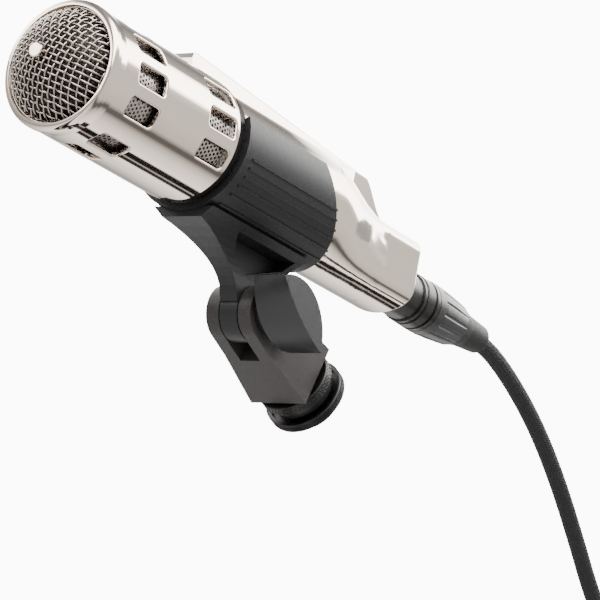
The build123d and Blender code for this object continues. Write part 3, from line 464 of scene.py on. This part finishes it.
def surroundings():
    """Floor, backdrop, reflections and two soft lamps."""
    floor()
    studio_world()
    light_tent()
    aim = MIC_ORIGIN
    area_light("key", aim + Vector((-0.5, -0.7, 0.9)), aim, (0.5, 0.5), 9)
    area_light("rim", aim + Vector((0.5, 0.8, 0.6)), aim, (0.6, 0.4), 8)


# ---------------------------------------------------------------- cable
CABLE_D = 0.007
COIL_R = 0.040
COIL_CENTRE = PIVOT + Vector((0.248, -0.028, -0.216))
PLUG_DROP = 0.0103
LAYERS = 4
TURN_POINTS = 16
COIL_START = math.radians(65)
ENTRY_OFFSET = 0.003
TAIL_DROP = 0.032
CABLE_GRIP = 0.008
ROWS_DEEP = 3
STRAP_ANGLE = math.radians(56)
STRAP_WIDTH = 0.0124
STRAP_THICK = 0.0011
STRAP_TURNS = 1.12
STRAP_GAP = 0.0006
STRAP_SQUARENESS = 0.28
BRAIDED_LENGTH = 0.235
BRAID_STRANDS = 16
BRAID_PITCH = 0.00118
BRAID_HEIGHT = 0.00032


def mic_point(x, z):
    """A point on the microphone's middle plane."""
    return MIC @ Vector((x, 0, z))


def pivot_point(x, z, y=0.0):
    """A point given by its offset from the pivot."""
    return PIVOT + Vector((x, y, z))


ROUTE = [
    mic_point(0.140, -PLUG_DROP),
    mic_point(0.1565, -PLUG_DROP),
    pivot_point(0.1805, -0.0258),
    pivot_point(0.2005, -0.0450),
    pivot_point(0.2175, -0.0675),
    pivot_point(0.2320, -0.0915),
    pivot_point(0.2435, -0.1170, -0.0015),
    pivot_point(0.2508, -0.1365, -0.0070),
    pivot_point(0.2556, -0.1525, -0.0155),
    pivot_point(0.2605, -0.1675, -0.0250),
]


def layer_radius(layer):
    """Radius of the turns in one layer, counted from the inside."""
    return COIL_R + (layer - (LAYERS - 1) / 2) * CABLE_D


def turn_places():
    """Ring radius and side offset of each turn: in along one side, then out again in a zigzag."""
    places = [(layer_radius(layer), -CABLE_D) for layer in reversed(range(LAYERS))]
    for layer in range(LAYERS - 1):
        pair = [(layer_radius(layer), 0.0), (layer_radius(layer), CABLE_D)]
        places += pair if layer % 2 == 0 else pair[::-1]
    outer = layer_radius(LAYERS - 1)
    return places + [(outer, CABLE_D), (outer, 0.0)]


def coil_points():
    """The coil's turns, clockwise from upper right; the last is a part turn that ends at the right."""
    places = turn_places()
    step = 2 * math.pi / TURN_POINTS
    before = (layer_radius(LAYERS - 1), ENTRY_OFFSET)
    points = []
    for i, (radius, offset) in enumerate(places):
        last = i == len(places) - 1
        count = round(COIL_START / step) if last else TURN_POINTS
        for k in range(1 if i == 0 else 0, count):
            share = min(1.0, k / (TURN_POINTS / 4))
            r = before[0] + (radius - before[0]) * share
            y = before[1] + (offset - before[1]) * share
            a = COIL_START - step * k
            grown = r / math.cos(step / 2)
            points.append(COIL_CENTRE + Vector((grown * math.cos(a), y, grown * math.sin(a))))
        before = (radius, offset)
    return points


def end_points():
    """Straight down from the coil's right side into the far plug."""
    x = layer_radius(LAYERS - 1)
    return [COIL_CENTRE + Vector((x, 0, z)) for z in (0.0, -0.016, -TAIL_DROP, -TAIL_DROP - CABLE_GRIP)]


def spline_line(points):
    """Points along the smooth line that these control points make."""
    data = bpy.data.curves.new("route", "CURVE")
    data.dimensions = "3D"
    data.resolution_u = 14
    spline = data.splines.new("NURBS")
    spline.points.add(len(points) - 1)
    for target, p in zip(spline.points, points):
        target.co = (*p, 1)
    spline.order_u = 3
    spline.use_endpoint_u = True
    obj = bpy.data.objects.new("route", data)
    bpy.context.scene.collection.objects.link(obj)
    mesh = bpy.data.meshes.new_from_object(obj.evaluated_get(bpy.context.evaluated_depsgraph_get()))
    line = [v.co.copy() for v in mesh.vertices]
    bpy.data.objects.remove(obj)
    return line


def spaced(line, step, start=0.0, stop=None):
    """Points at an even distance along a line, and its whole length."""
    marks = [0.0]
    for a, b in zip(line, line[1:]):
        marks.append(marks[-1] + (b - a).length)
    stop = marks[-1] if stop is None else min(stop, marks[-1])
    count = max(2, round((stop - start) / step))
    out = []
    i = 0
    for n in range(count + 1):
        s = start + (stop - start) * n / count
        while i < len(marks) - 2 and marks[i + 1] < s:
            i += 1
        f = (s - marks[i]) / max(1e-9, marks[i + 1] - marks[i])
        out.append((s, line[i].lerp(line[i + 1], f)))
    return out, marks[-1]


def carried_frames(points):
    """A tangent, a side and an up direction at each point, carried along without twist."""
    side = Vector((0, 1, 0))
    frames = []
    for i, p in enumerate(points):
        ahead = (points[min(i + 1, len(points) - 1)] - points[max(i - 1, 0)]).normalized()
        side = (side - ahead * side.dot(ahead)).normalized()
        frames.append((ahead, side, ahead.cross(side)))
    return frames


def braid_height(s, a):
    """Height of the braid over its groove, where left and right strands cross over and under."""
    u = BRAID_STRANDS * a / (2 * math.pi) + s / BRAID_PITCH
    v = BRAID_STRANDS * a / (2 * math.pi) - s / BRAID_PITCH
    over = (math.floor(u) + math.floor(v)) % 2 == 0
    across, ahead = (u, v) if over else (v, u)
    hill = math.sin(math.pi * (across % 1.0))
    crown = math.sin(math.pi * (ahead % 1.0))
    return BRAID_HEIGHT * (hill ** 0.6) * (0.55 + 0.45 * crown)


def hose(stations, radius, sides, relief=None):
    """A tube along stations, with an optional relief."""
    frames = carried_frames([p for _, p in stations])
    verts = []
    faces = []
    for (s, p), (_, side, up) in zip(stations, frames):
        for k in range(sides):
            a = 2 * math.pi * k / sides
            r = radius + (relief(s, a) if relief else 0.0)
            verts.append(p + r * (math.cos(a) * side + math.sin(a) * up))
    for i in range(len(stations) - 1):
        for k in range(sides):
            q = (k + 1) % sides
            faces.append((i * sides + q, i * sides + k, (i + 1) * sides + k, (i + 1) * sides + q))
    faces.append(tuple(range(sides)))
    faces.append(tuple(range(len(verts) - 1, len(verts) - 1 - sides, -1)))
    return verts, faces


def cable():
    """The braided cable on one smooth line through its coil."""
    line = spline_line(ROUTE + coil_points() + end_points())
    near, length = spaced(line, BRAID_PITCH / 5, 0.0, BRAIDED_LENGTH)
    rest, _ = spaced(line, BRAID_PITCH * 0.75, BRAIDED_LENGTH - 0.001)
    pile = Pile()
    pile.add(hose(near, CABLE_D / 2 - BRAID_HEIGHT, 5 * BRAID_STRANDS, braid_height))
    pile.add(hose(rest, CABLE_D / 2 - BRAID_HEIGHT * 0.4, 24))
    obj = new_piece("braided_cable", pile.verts, pile.faces, COTTON, "plug")
    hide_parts("mic_cable", "cable_coil", "tail_cable")


def coil_strap():
    """Hook-and-loop strap with a loose tail, round the bundle of turns."""
    wide = LAYERS * CABLE_D / 2 + STRAP_GAP
    deep = ROWS_DEEP * CABLE_D / 2 + STRAP_GAP
    radial = Vector((math.cos(STRAP_ANGLE), 0, math.sin(STRAP_ANGLE)))
    tangent = Vector((-math.sin(STRAP_ANGLE), 0, math.cos(STRAP_ANGLE)))
    centre = COIL_CENTRE + COIL_R * radial
    half = STRAP_WIDTH / 2
    thick = STRAP_THICK
    steps = 96
    verts = []
    faces = []
    for i in range(steps + 1):
        t = i / steps * STRAP_TURNS
        a = 2 * math.pi * t
        lift = 0.0002 + (thick * 1.05) * max(0.0, min(1.0, (t - 0.9) / 0.1))
        c, s = math.cos(a), math.sin(a)
        x = math.copysign(abs(c) ** STRAP_SQUARENESS, c) * (wide + lift)
        y = math.copysign(abs(s) ** STRAP_SQUARENESS, s) * (deep + lift)
        out = (radial * (x / wide) + SIDE * (y / deep)).normalized()
        spot = centre + radial * x + SIDE * y
        for across, up in ((-half, 0), (half, 0), (half, thick), (-half, thick)):
            verts.append(spot + tangent * across + out * up)
    for i in range(steps):
        for k in range(4):
            q = (k + 1) % 4
            faces.append((i * 4 + k, (i + 1) * 4 + k, (i + 1) * 4 + q, i * 4 + q))
    faces.append((0, 1, 2, 3))
    faces.append(tuple(steps * 4 + k for k in (3, 2, 1, 0)))
    obj = new_piece("coil_strap", verts, faces, STRAP, "plug")
    bevel = obj.modifiers.new("edge", "BEVEL")
    bevel.width = 0.0003
    bevel.segments = 2
    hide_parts("coil_tie")


# ---------------------------------------------------------------- woven dome and screen
WEAVE_PITCH = 0.00205
WIRE_R = 0.00034
WEAVE_TURN = math.radians(18)
RIM_WIRE_R = 0.0008
DOME_FLANGE = 0.001
RIM_INSET = 0.0023         # from the head's outside to the rim of the weave
SHORTEST_SHARE = 0.985     # no wire this near the rim, where it would be only a stub


def dome_shape():
    """Base plane, base radius, ball radius and ball centre of the woven dome, from the CAD dome."""
    x0, x1, outer = along("grille_dome", MIC)
    base = x1 - DOME_FLANGE
    rim = min(outer, along("head_shell", MIC)[2] - RIM_INSET)
    rise = base - x0
    ball = (rim**2 + rise**2) / (2 * rise)
    return base, rim, ball, x0 + ball


def woven_dome():
    """Two families of wires that pass over and under each other on the dome."""
    base, rim, ball, centre = dome_shape()
    pile = Pile()
    middle = ball - 2 * WIRE_R
    lines = int(rim / WEAVE_PITCH)
    c, s = math.cos(WEAVE_TURN), math.sin(WEAVE_TURN)
    for family in (0, 1):
        for k in range(-lines, lines + 1):
            fixed = (k + 0.5) * WEAVE_PITCH
            if abs(fixed) >= rim * SHORTEST_SHARE:
                continue
            reach = math.sqrt(rim**2 - fixed**2)
            steps = max(6, int(2 * reach / WEAVE_PITCH * 5))
            points = []
            normals = []
            for i in range(steps + 1):
                run = -reach + 2 * reach * i / steps
                sign = 1 if (k + family) % 2 == 0 else -1
                wave = sign * WIRE_R * 0.95 * math.sin(math.pi * run / WEAVE_PITCH)
                p, q = (fixed, run) if family == 0 else (run, fixed)
                y, z = c * p - s * q, s * p + c * q
                x = centre - math.sqrt(max(0.0, middle**2 - y * y - z * z))
                out = Vector((x - centre, y, z)).normalized()
                points.append(MIC @ (Vector((x, y, z)) + out * wave))
                normals.append(MIC.to_3x3() @ out)
            pile.add(tube(points, normals, WIRE_R, 6))
    rim_points = []
    rim_normals = []
    for i in range(96):
        a = 2 * math.pi * i / 96
        out = Vector((0, math.cos(a), math.sin(a)))
        rim_points.append(MIC @ (Vector((base - 0.0002, 0, 0)) + out * (rim - RIM_WIRE_R * 0.6)))
        rim_normals.append(MIC.to_3x3() @ out)
    pile.add(tube(rim_points, rim_normals, RIM_WIRE_R, 8, closed=True))
    obj = new_piece("woven_dome", pile.verts, pile.faces, WIRE, "microphone")
    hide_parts("grille_dome")


def gauze_look(m):
    """Fine gauze: two crossed sets of dark and pale threads on the dome."""
    vector = coords(m)
    total = None
    for axis in ("Y", "Z"):
        wave = node_of(m, "ShaderNodeTexWave", Scale=GAUZE_THREADS)
        wave.bands_direction = axis
        m.node_tree.links.new(vector, wave.inputs["Vector"])
        if total is None:
            total = wave.outputs["Fac"]
        else:
            mix = m.node_tree.nodes.new("ShaderNodeMath")
            mix.operation = "MULTIPLY"
            m.node_tree.links.new(total, mix.inputs[0])
            m.node_tree.links.new(wave.outputs["Fac"], mix.inputs[1])
            total = mix.outputs[0]
    tint(m, total, (0.012, 0.010, 0.009), (0.09, 0.078, 0.07))


HOLE_R = 0.00056
HOLE_STEP = 0.00172
SCREEN_ROW = 0.00150
SCREEN_THICK = 0.0004
GAUZE_THREADS = 330.0


def perforated_screen():
    """Rolled sheet with a staggered pattern of round holes."""
    x0, x1, radius = along("inner_screen", MIC)
    around = round(2 * math.pi * radius / HOLE_STEP)
    rows = int((x1 - x0) / SCREEN_ROW)
    row = (x1 - x0) / rows
    cell = 2 * math.pi / around
    verts = []
    faces = []
    square = [(-1, -1), (0, -1), (1, -1), (1, 0), (1, 1), (0, 1), (-1, 1), (-1, 0)]
    for r in range(rows):
        for k in range(around):
            mid_a = cell * (k + 0.5 * (r % 2))
            mid_x = x0 + row * (r + 0.5)
            start = len(verts)
            for ring, depth in (("edge", 0.0), ("hole", 0.0), ("hole", SCREEN_THICK)):
                for sx, sa in square:
                    size = math.hypot(sx, sa)
                    if ring == "edge":
                        x, a = mid_x + sx * row / 2, mid_a + sa * cell / 2
                    else:
                        x = mid_x + sx / size * HOLE_R
                        a = mid_a + sa / size * HOLE_R / radius
                    rr = radius - depth
                    verts.append(MIC @ Vector((x, -rr * math.cos(a), rr * math.sin(a))))
            for j in range(8):
                q = (j + 1) % 8
                faces.append((start + j, start + q, start + 8 + q, start + 8 + j))
                faces.append((start + 8 + j, start + 8 + q, start + 16 + q, start + 16 + j))
    obj = new_piece("perforated_screen", verts, faces, SCREEN_WITH_PAINTED_SHADE, "microphone", smooth=False)
    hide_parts("inner_screen")


# ---------------------------------------------------------------- knurled rims
def knurled_rim(name, inner, span, teeth, body, rim_r):
    """A diamond-knurled sleeve over a disc's rim."""
    x0, x1 = span
    edge = 0.00035
    rows = 14
    profile = [(x0 + 0.0001, inner), (x0, rim_r - edge)]
    for i in range(rows + 1):
        profile.append((x0 + edge + (x1 - x0 - 2 * edge) * i / rows, rim_r))
    profile += [(x1, rim_r - edge), (x1 - 0.0001, inner)]
    made = spun(BASE, profile, teeth, 0.0005, 0.32, (x0 + edge * 1.01, x1 - edge * 1.01), 6)
    new_piece(name, made[0], made[1], DARK_METAL, body, smooth=False)


# ---------------------------------------------------------------- making
camera()
surroundings()
cable()
coil_strap()
dress_cad()
gauze_look(GAUZE)
woven_dome()
perforated_screen()
knurled_rim("flange_knurl", 0.0128, (0.0375, 0.0415), 52, "stand_mount", 0.0141)
knurled_rim("ring_knurl", 0.0139, (0.0463, 0.0501), 90, "lock_ring_body", 0.0152)
